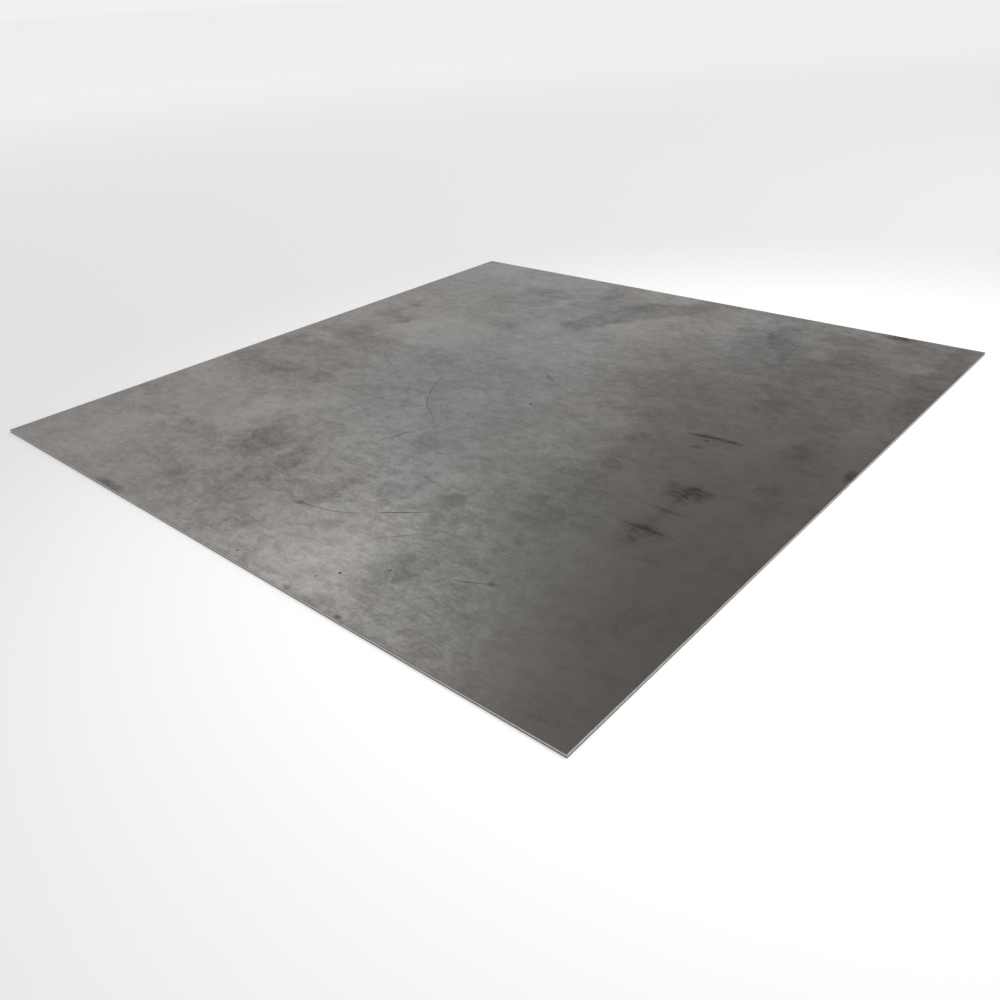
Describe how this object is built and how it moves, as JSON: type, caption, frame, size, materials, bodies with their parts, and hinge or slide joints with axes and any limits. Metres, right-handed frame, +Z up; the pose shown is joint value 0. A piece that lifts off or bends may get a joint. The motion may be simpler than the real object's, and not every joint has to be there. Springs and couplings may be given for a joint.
{
  "type": "steel plate",
  "caption": "Flat square plate of bare cold-rolled mild steel with four sheared edges, raw stock for cutting, bending and welding.",
  "frame": {"origin": "centre of the underside", "axes": "+Z up, square to the two broad faces, from the underside to the top face; +Y along the rolling direction; X and Y along the edges"},
  "size_m": [0.5, 0.5, 0.002],
  "materials": {
    "cold_rolled_steel": "bare cold-rolled mill finish, matt grey with a cloudy film of old oil, rolling grain along Y, a few stains and scratches; sheared edges with a bright land over a dull fracture"
  },
  "bodies": {
    "root": {"steel_plate": "cold_rolled_steel"}
  },
  "joints": []
}
